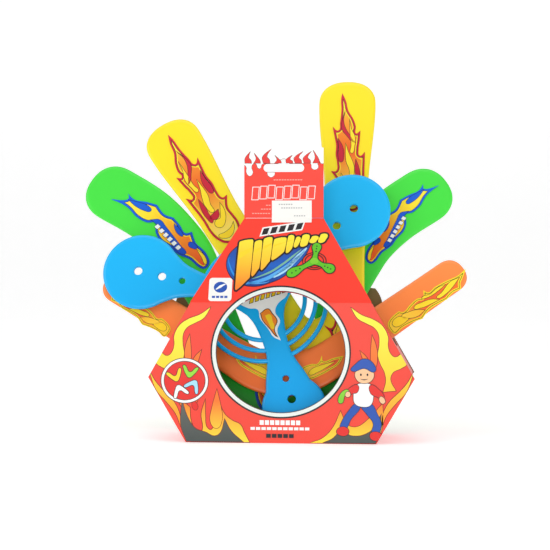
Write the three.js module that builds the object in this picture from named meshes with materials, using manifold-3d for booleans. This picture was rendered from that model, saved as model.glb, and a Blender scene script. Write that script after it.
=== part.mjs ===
// A four-in-one boomerang set: four moulded plastic boomerangs with flame stickers,
// standing one behind the other in a folded card display carton with a hang tab.
// Units are millimetres. +Z is up and the front of the carton faces -Y.
// The origin is under the middle of the whole set, on the surface it stands on.

import * as THREE from 'three';
import * as BufferGeometryUtils from 'three/addons/utils/BufferGeometryUtils.js';
import Module from 'manifold-3d';

const wasm = await Module();
wasm.setup();

// ---- driving dimensions -------------------------------------------------------

const BOARD = 0.8;              // thickness of the carton board
const DEPTH = 68;               // carton depth, front face to back face
const BOTTOM_HALF = 73.3;       // half width of the front panel at its bottom edge
const CORNER_HALF = 102.4;      // half width at the side corners
const CORNER_Z = 50;            // height of the side corners
const CREASE_HALF = 69.4;       // half width at the crease under the header
const CREASE_Z = 107.9;         // height of that crease
const HEADER_LENGTH = 72.6;     // crease to hang tab, along the header
const HEADER_LEAN = 26;         // degrees the header leans back
const TAB_HALF = 31.2;          // half width of the hang tab
const TAB_HEIGHT = 55;          // height of the hang tab
const SLOT_WIDTH = 32;          // standard hang slot, end to end
const SLOT_WING = 6.3;          // height of the slot at its ends
const SLOT_TOTAL = 10.2;        // height of the slot with its round top
const SLOT_Z = 39.2;            // middle of the slot ends above the bottom of the tab
const WINDOW = { z: 69.8, a: 49.4, b: 46.3 };   // window centre height and radii

const BLADE_LEAN = 18;          // degrees the boomerangs lean back in the carton
const BLADE_START = 3;          // front face of the first boomerang, behind the carton front
const BLADE_PITCH = 6.5;        // from one boomerang to the next
const BLADE_THICK = 3.6;        // moulded thickness
const RIM = { deep: 1.1, wide: 1.8 };           // rounded rim of every boomerang
const STICKER_THICK = 0.25;
const STICKER_GAP = 0.3;        // air between a sticker and the plastic
const FOLD_GAP = 0.3;           // room left at the carton's creases
const HEADER_FOLD = 0.8;        // more room where the header folds

const NOTCH = { front: 29, back: 57, leftZ: 69.5, rightZ: 72.5 };   // side wall notches
const LABEL_THICK = 0.2;
const PRICE_LABEL = { x: 6.3, width: 31.3, onHeader: 4.2, onTab: 13.6 };
const PATCH = { x: -46.8, y: 10.6, width: 17.9, height: 19.6, corner: 2.4 };
const ORIGIN_SHIFT = { x: 12.9, y: -56.6 };     // brings the set's middle to the origin

const rad = THREE.MathUtils.degToRad;

// ---- helpers -------------------------------------------------------------------

const group = new THREE.Group();

function material(color, roughness) {
  return new THREE.MeshStandardMaterial({ color, roughness, metalness: 0 });
}

function addMesh(parent, name, geometry, surface) {
  const mesh = new THREE.Mesh(geometry, surface);
  mesh.name = name;
  parent.add(mesh);
  return mesh;
}

function flatSheet(shape, thickness, curveSegments = 12) {
  const options = { depth: thickness, bevelEnabled: false, curveSegments };
  return new THREE.ExtrudeGeometry(shape, options);
}

function rimmedPlate(shape, curveSegments = 10) {
  const options = {
    depth: BLADE_THICK - 2 * RIM.deep,
    bevelEnabled: true,
    bevelThickness: RIM.deep,
    bevelSize: RIM.wide,
    bevelOffset: -RIM.wide,
    bevelSegments: 2,
    curveSegments,
  };
  // The front face lies at z = 0 and the plate is behind it.
  return new THREE.ExtrudeGeometry(shape, options).translate(0, 0, RIM.deep - BLADE_THICK);
}

function shapeFrom(points) {
  return new THREE.Shape(points.map(([x, y]) => new THREE.Vector2(x, y)));
}

function toSolid(geometry) {
  const bare = geometry.clone();
  bare.deleteAttribute('normal');
  bare.deleteAttribute('uv');
  const merged = BufferGeometryUtils.mergeVertices(bare, 1e-4);
  const vertProperties = new Float32Array(merged.attributes.position.array);
  const triVerts = new Uint32Array(merged.index.array);
  return new wasm.Manifold(new wasm.Mesh({ numProp: 3, vertProperties, triVerts }));
}

function fromSolid(solid) {
  const mesh = solid.getMesh();
  const geometry = new THREE.BufferGeometry();
  geometry.setAttribute('position', new THREE.BufferAttribute(mesh.vertProperties, 3));
  geometry.setIndex(new THREE.BufferAttribute(mesh.triVerts, 1));
  geometry.computeVertexNormals();
  return geometry;
}

// ---- the carton ------------------------------------------------------------------

const printedRed = () => material(0xf4604f, 0.35);
const headerRed = () => material(0xff4330, 0.35);
const kraft = () => material(0x8a6f4e, 0.9);

const carton = new THREE.Group();
group.add(carton);

// Upright panels are drawn in X and Z, with their front face at the group's Y.
function uprightFrame(y) {
  const frame = new THREE.Group();
  frame.rotation.x = Math.PI / 2;
  frame.position.y = y;
  carton.add(frame);
  return frame;
}

function frontPanel() {
  const rise = CREASE_Z - WINDOW.z;
  const angle = Math.asin(rise / WINDOW.b);
  const chord = WINDOW.a * Math.cos(angle);
  const shape = new THREE.Shape();
  shape.moveTo(-BOTTOM_HALF, 0);
  shape.lineTo(BOTTOM_HALF, 0);
  shape.lineTo(CORNER_HALF, CORNER_Z);
  shape.lineTo(CREASE_HALF, CREASE_Z);
  shape.lineTo(chord, CREASE_Z);
  shape.absellipse(0, WINDOW.z, WINDOW.a, WINDOW.b, angle, Math.PI - angle, true);
  shape.lineTo(-CREASE_HALF, CREASE_Z);
  shape.lineTo(-CORNER_HALF, CORNER_Z);
  const mesh = addMesh(uprightFrame(0), 'carton_front_panel', flatSheet(shape, BOARD, 40), printedRed());
  mesh.position.z = -BOARD;
}

function headerPanel(frame) {
  const stretch = 1 / Math.cos(rad(HEADER_LEAN));
  const centre = (WINDOW.z - CREASE_Z) * stretch;
  const radius = WINDOW.b * stretch;
  const angle = Math.asin((HEADER_FOLD - centre) / radius);
  const shape = new THREE.Shape();
  shape.moveTo(-CREASE_HALF, HEADER_FOLD);
  shape.lineTo(-WINDOW.a * Math.cos(angle), HEADER_FOLD);
  shape.absellipse(0, centre, WINDOW.a, radius, Math.PI - angle, angle, true);
  shape.lineTo(CREASE_HALF, HEADER_FOLD);
  shape.lineTo(TAB_HALF, HEADER_LENGTH - FOLD_GAP);
  shape.lineTo(-TAB_HALF, HEADER_LENGTH - FOLD_GAP);
  const mesh = addMesh(frame, 'carton_header_panel', flatSheet(shape, BOARD, 14), headerRed());
  mesh.position.z = -BOARD;
}

function hangSlot(z) {
  const end = SLOT_WING / 2;
  const reach = SLOT_WIDTH / 2 - end;
  const bump = SLOT_TOTAL - end;
  const slot = new THREE.Path();
  slot.moveTo(-reach, z - end);
  slot.lineTo(reach, z - end);
  slot.absarc(reach, z, end, -Math.PI / 2, Math.PI / 2, false);
  const archRadius = bump * 0.62;
  slot.absarc(0, z + end - 0.6, archRadius, rad(8), rad(172), false);
  slot.lineTo(-reach, z + end);
  slot.absarc(-reach, z, end, Math.PI / 2, Math.PI * 1.5, false);
  return slot;
}

function hangTab(frame) {
  const shape = shapeFrom([
    [-TAB_HALF, 0], [TAB_HALF, 0], [TAB_HALF, TAB_HEIGHT - 1.5],
    [TAB_HALF - 1.5, TAB_HEIGHT], [1.5 - TAB_HALF, TAB_HEIGHT], [-TAB_HALF, TAB_HEIGHT - 1.5],
  ]);
  shape.holes.push(hangSlot(SLOT_Z));
  const mesh = addMesh(frame, 'carton_hang_tab', flatSheet(shape, BOARD, 6), material(0xf6f2ee, 0.4));
  mesh.position.z = -BOARD;
}

function headerAndTab() {
  const header = new THREE.Group();
  header.position.z = CREASE_Z;
  header.rotation.x = Math.PI / 2 - rad(HEADER_LEAN);
  carton.add(header);
  headerPanel(header);

  const tab = new THREE.Group();
  tab.position.y = HEADER_LENGTH;
  tab.rotation.x = rad(HEADER_LEAN);
  header.add(tab);
  hangTab(tab);

  const price = addMesh(header, 'price_label', foldedLabel(), material(0xf7f5f0, 0.5));
  price.position.set(PRICE_LABEL.x, HEADER_LENGTH, 0);
  price.rotation.set(0, Math.PI / 2, 0);

  const patch = roundedRectangle(PATCH.width, PATCH.height, PATCH.corner);
  const sticker = addMesh(header, 'round_cornered_sticker', flatSheet(patch, LABEL_THICK, 3),
    material(0xf4f6f4, 0.4));
  sticker.position.set(PATCH.x, PATCH.y, STICKER_GAP);
}

// The price label is stuck across the crease, partly on the header and partly on the tab.
// Its section is drawn in (depth, height) and run across the carton.
function foldedLabel() {
  const { width, onHeader, onTab } = PRICE_LABEL;
  const lean = rad(HEADER_LEAN);
  const offset = (gap) => {
    const corner = gap * Math.tan(lean / 2);
    const up = onTab - corner;
    return [
      [-gap, -onHeader], [-gap, -corner],
      [-gap - up * Math.sin(lean), -corner + up * Math.cos(lean)],
    ];
  };
  const section = shapeFrom([...offset(STICKER_GAP), ...offset(STICKER_GAP + LABEL_THICK).reverse()]);
  return flatSheet(section, width).translate(0, 0, -width / 2);
}

function roundedRectangle(width, height, radius) {
  const x = width / 2;
  const y = height / 2;
  const shape = new THREE.Shape();
  shape.moveTo(radius - x, -y);
  shape.absarc(x - radius, radius - y, radius, -Math.PI / 2, 0, false);
  shape.absarc(x - radius, y - radius, radius, 0, Math.PI / 2, false);
  shape.absarc(radius - x, y - radius, radius, Math.PI / 2, Math.PI, false);
  shape.absarc(radius - x, radius - y, radius, Math.PI, Math.PI * 1.5, false);
  return shape;
}

function basePanel() {
  const length = DEPTH - 2 * BOARD - 2 * FOLD_GAP;
  const width = 2 * (BOTTOM_HALF - BOARD - FOLD_GAP);
  const base = addMesh(carton, 'carton_base_panel', new THREE.BoxGeometry(width, length, BOARD), kraft());
  base.position.set(0, DEPTH / 2, BOARD / 2);
}

// The back panel is cut away in the middle, and its top corners flare out as ears.
function backPanel() {
  const shape = new THREE.Shape();
  shape.moveTo(-BOTTOM_HALF, 0);
  shape.lineTo(BOTTOM_HALF, 0);
  shape.lineTo(CORNER_HALF, CORNER_Z);
  shape.lineTo(76.5, 95);
  shape.quadraticCurveTo(79, 108, 71, 117);
  shape.lineTo(58, 118.5);
  shape.bezierCurveTo(50, 74, 30, 58, 0, 58);
  shape.bezierCurveTo(-30, 58, -52, 74, -60, 121);
  shape.lineTo(-82, 120.5);
  shape.quadraticCurveTo(-92, 112, -91.5, 99);
  shape.lineTo(-80, 88);
  shape.lineTo(-CORNER_HALF, CORNER_Z);
  addMesh(uprightFrame(DEPTH), 'carton_back_panel', flatSheet(shape, BOARD, 10), kraft());
}

// A side wall is drawn with X from front to back and Y up along the slanted wall.
function sideWall(name, side, low, high, outline, surface) {
  const run = new THREE.Vector2(high[0] - low[0], high[1] - low[1]);
  const mesh = addMesh(carton, name, flatSheet(outline(run.length()), BOARD), surface);
  const along = new THREE.Vector3(side * run.x, 0, run.y).normalize();
  const depth = new THREE.Vector3(0, 1, 0);
  const outward = new THREE.Vector3().crossVectors(depth, along);
  const basis = new THREE.Matrix4().makeBasis(depth, along, outward);
  mesh.quaternion.setFromRotationMatrix(basis);
  // On the left the wall's thickness is already inward; on the right it is turned inward.
  const inward = side > 0 ? -BOARD : 0;
  mesh.position.set(side * low[0], 0, low[1]).addScaledVector(outward, inward);
  return mesh;
}

function sideWalls() {
  const front = BOARD + FOLD_GAP;
  const back = DEPTH - BOARD - FOLD_GAP;
  const slantHeight = (CREASE_Z - CORNER_Z);
  const slantLength = Math.hypot(CORNER_HALF - CREASE_HALF, slantHeight);
  for (const [label, side, notchZ] of [['left', -1, NOTCH.leftZ], ['right', 1, NOTCH.rightZ]]) {
    const lower = (length) => shapeFrom([
      [front, 1], [back, 1], [back, length - 1], [front, length - 1],
    ]);
    sideWall(`carton_lower_side_${label}`, side, [BOTTOM_HALF - BOARD, 0],
      [CORNER_HALF - BOARD, CORNER_Z], lower, printedRed());

    const notch = (notchZ - CORNER_Z) / slantHeight * slantLength;
    const upper = (length) => shapeFrom([
      [front, 1], [back, 1], [back, length - 16], [NOTCH.back, length - 16],
      [NOTCH.back, notch + 4], [NOTCH.back - 4, notch], [NOTCH.front + 4, notch],
      [NOTCH.front, notch + 4], [NOTCH.front - 2, length - 2], [front, length - 2],
    ]);
    sideWall(`carton_upper_side_${label}`, side, [CORNER_HALF - BOARD, CORNER_Z],
      [CREASE_HALF - BOARD, CREASE_Z], upper, printedRed());
  }
}

function glueFlaps() {
  const baseFlap = shapeFrom([[-66, 1.2], [66, 1.2], [60, 13], [-60, 13]]);
  const flap = addMesh(uprightFrame(0), 'carton_base_glue_flap', flatSheet(baseFlap, BOARD), kraft());
  flap.position.z = -2 * BOARD - FOLD_GAP;
  for (const [label, side] of [['left', -1], ['right', 1]]) {
    const points = [[71.5, 4], [97, 47.5], [84, 43], [65, 9]].map(([x, z]) => [side * x, z]);
    const mesh = addMesh(uprightFrame(0), `carton_back_glue_flap_${label}`,
      flatSheet(shapeFrom(points), BOARD), kraft());
    mesh.position.z = -(DEPTH - BOARD - FOLD_GAP);
  }
}

// ---- the boomerangs ----------------------------------------------------------------

const stack = new THREE.Group();
stack.position.set(0, BLADE_START, 0);
stack.rotation.x = Math.PI / 2 - rad(BLADE_LEAN);
group.add(stack);

function bladeFrame(index) {
  const frame = new THREE.Group();
  frame.position.z = -index * BLADE_PITCH;
  stack.add(frame);
  return frame;
}

// The outline of a bent band: a centre line, a half width along it and rounded ends.
function bandOutline(path, widthAt, endLength, samples) {
  const centre = path.getSpacedPoints(samples);
  const left = [];
  const right = [];
  const normals = centre.map((point, i) => {
    const before = centre[Math.max(i - 1, 0)];
    const after = centre[Math.min(i + 1, samples)];
    const along = after.clone().sub(before).normalize();
    return new THREE.Vector2(-along.y, along.x);
  });
  centre.forEach((point, i) => {
    const width = widthAt(i / samples);
    left.push(point.clone().addScaledVector(normals[i], width));
    right.push(point.clone().addScaledVector(normals[i], -width));
  });
  const cap = (point, normal, outward, width) => {
    const points = [];
    const steps = 8;
    for (let i = 1; i < steps; i += 1) {
      const angle = Math.PI / 2 - Math.PI * i / steps;
      const across = Math.sign(Math.sin(angle)) * Math.abs(Math.sin(angle)) ** END_ROUNDNESS;
      const out = Math.abs(Math.cos(angle)) ** END_ROUNDNESS;
      points.push(point.clone()
        .addScaledVector(normal, width * across)
        .addScaledVector(outward, endLength * out));
    }
    return points;
  };
  const last = samples;
  const forward = new THREE.Vector2(normals[last].y, -normals[last].x);
  const backward = new THREE.Vector2(-normals[0].y, normals[0].x);
  const farCap = cap(centre[last], normals[last], forward, widthAt(1));
  const nearCap = cap(centre[0], normals[0].clone().negate(), backward, widthAt(0));
  const points = [...left, ...farCap, ...right.reverse(), ...nearCap];
  return new THREE.Shape(points.reverse());
}

const END_ROUNDNESS = 0.88;     // 1 is a true ellipse, less is squarer

// A centre line of two straight arms joined by an arc, from the left tip to the right.
function bentLine({ vertex, bisector, half, radius, arms }) {
  const left = rad(bisector + half);
  const right = rad(bisector - half);
  const tangent = radius / Math.tan(rad(half));
  const reach = radius / Math.sin(rad(half));
  const point = (angle, distance) => new THREE.Vector2(
    vertex[0] + distance * Math.cos(angle), vertex[1] + distance * Math.sin(angle));
  const centre = point(rad(bisector), reach);
  const tips = [point(left, arms[0]), point(right, arms[1])];
  const feet = [point(left, tangent), point(right, tangent)];
  const path = new THREE.Path();
  path.moveTo(tips[0].x, tips[0].y);
  path.lineTo(feet[0].x, feet[0].y);
  path.absarc(centre.x, centre.y, radius, left + Math.PI / 2, right - Math.PI / 2 + 2 * Math.PI, false);
  path.lineTo(tips[1].x, tips[1].y);
  return path;
}

// Half width by distance from the elbow: stops are [share of the arm, half width].
function widthProfile(stops) {
  return (t) => {
    const share = Math.abs(2 * t - 1);
    for (let i = 1; i < stops.length; i += 1) {
      const [from, a] = stops[i - 1];
      const [to, b] = stops[i];
      if (share <= to) {
        return a + (b - a) * THREE.MathUtils.smoothstep(share, from, to);
      }
    }
    return stops[stops.length - 1][1];
  };
}

// -- the three-bladed one: three lobes on a hub, braced by three rings

const TRI = {
  hub: [-17, 114.8],
  turn: 167,                  // direction of the first blade, in degrees
  // The lowest blade stands in the carton and is a little shorter, to clear the base.
  lobes: [{ at: 101.5, radius: 31 }, { at: 90.5, radius: 25 }, { at: 101.5, radius: 31 }],
  hollow: [[9, 15.6], [19, 12.2], [34, 10], [48, 9.7], [58, 11.4], [69, 15]],
  joinAngle: 134,             // where a blade's edge runs into its lobe
  holes: [[67, 2.6], [84, 3.2], [104, 3.3]],
  rings: [33, 41.6, 50.2],
  ringWidth: 3.4,
};

// One blade's outline, from the hollow on one side round the lobe to the other side.
function lobedBlade({ at, radius }) {
  const join = rad(TRI.joinAngle);
  const end = new THREE.Vector2(at + radius * Math.cos(join), radius * Math.sin(join));
  const stretch = end.x / (TRI.lobes[0].at + TRI.lobes[0].radius * Math.cos(join));
  const knots = TRI.hollow.map(([x, y], i) => new THREE.Vector2(i ? x * stretch : x, y));
  const half = new THREE.SplineCurve([...knots, end]).getSpacedPoints(11);
  const steps = 9;
  for (let i = 1; i <= steps; i += 1) {
    const angle = join * (1 - i / steps);
    half.push(new THREE.Vector2(at + radius * Math.cos(angle), radius * Math.sin(angle)));
  }
  const mirrored = half.slice(1, -1).reverse().map((p) => new THREE.Vector2(p.x, -p.y));
  return [...half, ...mirrored].reverse();
}

function triBladeShape() {
  const centre = new THREE.Vector2();
  const points = [];
  const holes = [];
  TRI.lobes.forEach((lobe, i) => {
    const turn = rad(TRI.turn + 120 * i);
    points.push(...lobedBlade(lobe).map((p) => p.rotateAround(centre, turn)));
    for (const [distance, radius] of TRI.holes) {
      const hole = new THREE.Path();
      const [x, y] = [distance * Math.cos(turn), distance * Math.sin(turn)];
      hole.absarc(x, y, radius, 0, 2 * Math.PI, true);
      holes.push(hole);
    }
  });
  const shape = new THREE.Shape(points);
  shape.holes.push(...holes);
  return shape;
}

function braceRing(radius) {
  const w = TRI.ringWidth / 2;
  const front = -0.9;
  const back = 0.7 - BLADE_THICK;
  const profile = [
    [radius - w, back], [radius + w, back], [radius + w, front - 0.6],
    [radius + w - 0.8, front], [radius - w + 0.8, front], [radius - w, front - 0.6], [radius - w, back],
  ].map(([x, y]) => new THREE.Vector2(x, y));
  // The lathe turns about Y, so its ring is laid down to turn about Z.
  return new THREE.LatheGeometry(profile, 40).rotateX(Math.PI / 2);
}

function triBlade() {
  const frame = bladeFrame(0);
  let solid = toSolid(rimmedPlate(triBladeShape(), 6));
  for (const radius of TRI.rings) {
    solid = solid.add(toSolid(braceRing(radius)));
  }
  const blade = addMesh(frame, 'blue_tri_blade_boomerang', fromSolid(solid), material(0x22b4f2, 0.25));
  blade.position.set(TRI.hub[0], TRI.hub[1], 0);

  const label = new THREE.Shape();
  label.absellipse(0, 0, 23, 11, 0, Math.PI, false);
  label.splineThru([
    new THREE.Vector2(-17, -6), new THREE.Vector2(-10, -10), new THREE.Vector2(-7, -22),
    new THREE.Vector2(6, -34), new THREE.Vector2(11, -20), new THREE.Vector2(15, -9), new THREE.Vector2(23, 0),
  ]);
  const mesh = addMesh(frame, 'blue_hub_sticker', flatSheet(label, STICKER_THICK, 10), material(0xf2efe6, 0.4));
  mesh.position.set(TRI.hub[0] + 2, TRI.hub[1] + 4, STICKER_GAP);
  mesh.rotation.z = rad(14);
}

// -- the three bent ones

// Arms are measured from where their centre lines would cross, the left one first.
const ORANGE = { vertex: [3.4, 43.9], bisector: 92.5, half: 56.5, radius: 60, arms: [160, 156] };
const YELLOW = { vertex: [47, 25.4], bisector: 106.1, half: 16.1, radius: 24.6, arms: [269, 262] };

function orangeBlade() {
  const frame = bladeFrame(1);
  const widths = widthProfile([[0, 17.6], [0.4, 14.6], [1, 13.5]]);
  const outline = bandOutline(bentLine(ORANGE), widths, 13.5, 26);
  addMesh(frame, 'orange_boomerang', rimmedPlate(outline), material(0xff7a30, 0.25));
  return frame;
}

function yellowBlade() {
  const frame = bladeFrame(2);
  const widths = widthProfile([[0, 16.4], [0.35, 15.4], [0.62, 17.6], [1, 23.4]]);
  const outline = bandOutline(bentLine(YELLOW), widths, 20, 34);
  addMesh(frame, 'yellow_boomerang', rimmedPlate(outline), material(0xffe62b, 0.25));
  return frame;
}

function greenBlade() {
  const frame = bladeFrame(3);
  const path = new THREE.Path();
  path.moveTo(-145, 211);
  path.splineThru([
    [-112, 190], [-83, 158], [-62, 120], [-46, 83], [-31, 50], [-17, 31], [3, 24],
    [20, 32], [30, 52], [36, 80], [40, 108], [48, 138], [62, 166], [84, 190], [108.6, 207.7],
  ].map(([x, y]) => new THREE.Vector2(x, y)));
  const widths = widthProfile([[0, 16], [0.4, 16], [0.7, 22.4], [1, 23.8]]);
  const outline = bandOutline(path, widths, 23.8, 34);
  addMesh(frame, 'green_boomerang', rimmedPlate(outline), material(0x44dd44, 0.25));
  return frame;
}

// -- flame stickers on the bent ones

// A flame: a rounded root at the origin, tongues swept back on both sides, a tip at +X.
function flameShape(length, width, tongues) {
  const envelope = (x) => width * (1 - 0.85 * (x / length) ** 1.6);
  const step = length / (tongues + 0.6);
  const shape = new THREE.Shape();
  shape.moveTo(0, -width * 0.5);
  for (let i = 0; i < tongues; i += 1) {
    const x = i * step;
    const tip = [x + step * 0.85, -envelope(x + step * 0.5)];
    const valley = [x + step, -envelope(x + step) * 0.5];
    shape.bezierCurveTo(x + step * 0.1, tip[1] * 0.8, x + step * 0.4, tip[1], tip[0], tip[1]);
    shape.bezierCurveTo(tip[0] - step * 0.1, tip[1] * 0.9, x + step * 0.9, valley[1] * 1.4, valley[0], valley[1]);
  }
  shape.quadraticCurveTo(length * 0.93, -width * 0.1, length, 0);
  shape.quadraticCurveTo(length * 0.93, width * 0.12, tongues * step, envelope(tongues * step) * 0.5);
  for (let i = tongues - 1; i >= 0; i -= 1) {
    const x = i * step;
    const tip = [x + step * 0.85, envelope(x + step * 0.5)];
    const valley = envelope(x + step) * 0.7;
    shape.bezierCurveTo(x + step * 0.9, valley, tip[0] - step * 0.1, tip[1] * 0.9, tip[0], tip[1]);
    shape.bezierCurveTo(x + step * 0.4, tip[1], x + step * 0.1, envelope(x) * 0.8, x, envelope(x) * 0.5);
  }
  shape.quadraticCurveTo(-width * 0.35, 0, 0, -width * 0.5);
  return shape;
}

function flameSticker(frame, name, { at, turn, length, width, tongues, color }) {
  const mesh = addMesh(frame, name, flatSheet(flameShape(length, width, tongues), STICKER_THICK, 3),
    material(color, 0.4));
  mesh.position.set(at[0], at[1], STICKER_GAP);
  mesh.rotation.z = rad(turn);
}

const STICKERS = {
  orange: [
    ['orange_sticker_left', { at: [-76, 88], turn: 146, length: 62, width: 10, tongues: 4 }],
    ['orange_sticker_right', { at: [80, 95], turn: 37.5, length: 66, width: 10, tongues: 4 }],
    ['orange_sticker_elbow_left', { at: [-2, 56], turn: 156, length: 44, width: 9, tongues: 3 }],
    ['orange_sticker_elbow_right', { at: [8, 56], turn: 29, length: 44, width: 9, tongues: 3 }],
  ],
  yellow: [
    ['yellow_sticker_left', { at: [-33, 153], turn: 122.2, length: 112, width: 13, tongues: 5 }],
    ['yellow_sticker_right', { at: [49, 180], turn: 91, length: 112, width: 13, tongues: 5 }],
    ['yellow_sticker_elbow', { at: [38, 68], turn: 78, length: 56, width: 10, tongues: 3 }],
  ],
  green: [
    ['green_sticker_left', { at: [-74, 148], turn: 134, length: 92, width: 14, tongues: 5 }],
    ['green_sticker_right', { at: [62, 164], turn: 43, length: 76, width: 14, tongues: 5 }],
    ['green_sticker_elbow', { at: [-8, 27], turn: 112, length: 60, width: 10, tongues: 3 }],
  ],
};

const BORDER = { orange: 0xf7e13a, yellow: 0xc2323a, green: 0x1e3f9e };

// ---- assembly ------------------------------------------------------------------------

frontPanel();
headerAndTab();
basePanel();
backPanel();
sideWalls();
glueFlaps();
triBlade();
const frames = { orange: orangeBlade(), yellow: yellowBlade(), green: greenBlade() };
for (const [colour, list] of Object.entries(STICKERS)) {
  for (const [name, settings] of list) {
    flameSticker(frames[colour], name, { ...settings, color: BORDER[colour] });
  }
}
group.position.set(ORIGIN_SHIFT.x, ORIGIN_SHIFT.y, 0);

export default group;
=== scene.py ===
"""Looks for a set of four boomerangs that stands in a folded display carton.

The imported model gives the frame. Each boomerang is moulded again here with a rounded rim, and every
sticker and print is a stack of thin coloured films. Drawings are in millimetres on the surface that
they lie on, with X to the right, Y up the surface and Z out of it towards the front.
"""

from math import asin, atan2, cos, degrees, pi, radians, sin

import bmesh
import bpy
from mathutils import Matrix, Vector
from mathutils.geometry import tessellate_polygon


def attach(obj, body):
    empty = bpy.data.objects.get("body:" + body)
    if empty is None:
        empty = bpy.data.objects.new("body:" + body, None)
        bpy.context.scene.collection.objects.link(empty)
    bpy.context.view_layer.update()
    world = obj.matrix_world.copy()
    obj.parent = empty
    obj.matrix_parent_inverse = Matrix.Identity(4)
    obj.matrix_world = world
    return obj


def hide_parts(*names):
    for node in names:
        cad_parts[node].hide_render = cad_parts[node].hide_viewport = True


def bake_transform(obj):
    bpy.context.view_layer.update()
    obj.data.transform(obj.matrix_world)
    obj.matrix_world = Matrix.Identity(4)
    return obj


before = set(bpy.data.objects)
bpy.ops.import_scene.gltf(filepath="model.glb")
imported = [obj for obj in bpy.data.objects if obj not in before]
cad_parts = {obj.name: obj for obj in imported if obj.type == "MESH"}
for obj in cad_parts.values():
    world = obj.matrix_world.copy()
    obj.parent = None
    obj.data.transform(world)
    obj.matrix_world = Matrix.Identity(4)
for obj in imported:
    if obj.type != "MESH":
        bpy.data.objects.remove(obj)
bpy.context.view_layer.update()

# ---- driving dimensions, in millimetres and degrees ------------------------------------------

MM = 0.001
ORIGIN = Vector((12.9, -56.6, 0.0))    # the middle of the carton's bottom front edge
BOTTOM_HALF = 73.3
CORNER_HALF = 102.4
CORNER_Z = 50
CREASE_Z = 107.9
HEADER_LEAN = 26
HEADER_FOLD = 0.8
TAB_BOTTOM = Vector((0.0, 31.83, 173.15))
WINDOW_Z = 69.8
WINDOW_A = 49.4
WINDOW_B = 46.3
RING_WIDTH = 3.3
RING_LINE = 1.2
CREASE_HALF = 69.4                     # half the crease's length
COVER_HEIGHTS = (0.24, 0.28)           # the crease cover's two faces, out from the board
TAB_HALF = 31.2
TAB_TALL = 55
TAB_PANEL = [(-TAB_HALF, 0), (TAB_HALF, 0), (TAB_HALF, TAB_TALL), (-TAB_HALF, TAB_TALL)]
FRONT_PANEL = [(-BOTTOM_HALF, 0), (BOTTOM_HALF, 0), (CORNER_HALF, CORNER_Z), (CREASE_HALF, CREASE_Z),
               (-CREASE_HALF, CREASE_Z), (-CORNER_HALF, CORNER_Z)]

BLADE_LEAN = 18
BLADE_START = 3.0
BLADE_PITCH = 6.5
BLADE_THICK = 3.6
RIM_WIDE = 3.6                         # how far the rounded rim reaches in from the edge
RIM_DEEP = 1.5
RIM_FLAT = 0.5                         # a flat step between the rim and the plain face
HOLE_RIM = 0.14                        # a hole's rim, as a share of the outer one
END_ROUNDNESS = 0.88

STICKER_GAP = 0.3
STICKER_THICK = 0.25
LABEL_THICK = 0.2
PRINT_GAP = 0.02                       # air between the card and its lowest film
INK = 0.03                             # thickness of one printed film
TIP = True                             # marks a sharp point in an outline
HANDLE = 0.36                          # reach of a smooth point's handles, as a share of its side
TIP_HANDLE = 0.33                      # the same at a sharp point
ART_UNIT = 100                         # millimetres of a drawing to one unit of its UV map


# ---- surfaces to draw on ---------------------------------------------------------------------

def surface(origin, lean):
    """The matrix that takes a drawing in millimetres to its place in metres."""
    angle = radians(lean)
    right = Vector((1, 0, 0))
    up = Vector((0, sin(angle), cos(angle)))
    out = Vector((0, -cos(angle), sin(angle)))
    turn = Matrix((right, up, out)).transposed().to_4x4()
    return Matrix.Scale(MM, 4) @ Matrix.Translation(ORIGIN + Vector(origin)) @ turn


def blade_surface(index):
    depth = BLADE_PITCH * index
    angle = radians(BLADE_LEAN)
    return surface((0, BLADE_START + depth * cos(angle), -depth * sin(angle)), BLADE_LEAN)


FRONT = surface((0, 0, 0), 0)
HEADER = surface((0, 0, CREASE_Z), HEADER_LEAN)
TAB = surface(TAB_BOTTOM, 0)


def put(at=(0, 0), turn=0, scale=1.0, mirror=False):
    """A placement of a small drawing on its surface."""
    flip = -1 if mirror else 1
    return (Matrix.Translation((at[0], at[1], 0)) @ Matrix.Rotation(radians(turn), 4, "Z")
            @ Matrix.Diagonal((scale, scale * flip, 1, 1)))


# ---- outlines --------------------------------------------------------------------------------

def curve(points, steps=6, closed=True):
    """A smooth line through the points. A point whose third item is TIP is a sharp corner."""
    knots = [Vector(point[:2]) for point in points]
    sharp = [len(point) > 2 for point in points]
    count = len(knots)
    handles = []
    for i, knot in enumerate(knots):
        before = knots[i - 1]
        after = knots[(i + 1) % count]
        if sharp[i]:
            handles.append((knot.lerp(before, TIP_HANDLE), knot.lerp(after, TIP_HANDLE)))
            continue
        along = (after - before).normalized()
        handles.append((knot - along * (knot - before).length * HANDLE,
                        knot + along * (after - knot).length * HANDLE))
    line = []
    for i in range(count if closed else count - 1):
        j = (i + 1) % count
        a, b, c, d = knots[i], handles[i][1], handles[j][0], knots[j]
        for step in range(steps):
            t = step / steps
            s = 1 - t
            line.append(a * s ** 3 + b * (3 * s * s * t) + c * (3 * s * t * t) + d * t ** 3)
    if not closed:
        line.append(knots[-1])
    return line


def straight(points):
    return [Vector(point) for point in points]


def block(x, y, along, up):
    """Four corners: the lower left one, then by way of the lower edge and the left edge."""
    return straight([(x, y), (x + along[0], y + along[1]),
                     (x + along[0] + up[0], y + along[1] + up[1]), (x + up[0], y + up[1])])


def ellipse(centre, a, b, start=0, end=360, steps=48):
    whole = abs(end - start) >= 360
    count = steps if whole else steps + 1
    angles = [radians(start + (end - start) * i / steps) for i in range(count)]
    return [Vector((centre[0] + a * cos(angle), centre[1] + b * sin(angle))) for angle in angles]


def area(line):
    return sum(a.x * b.y - b.x * a.y for a, b in zip(line, line[1:] + line[:1])) / 2


def anticlockwise(line):
    return line if area(line) > 0 else line[::-1]


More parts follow.
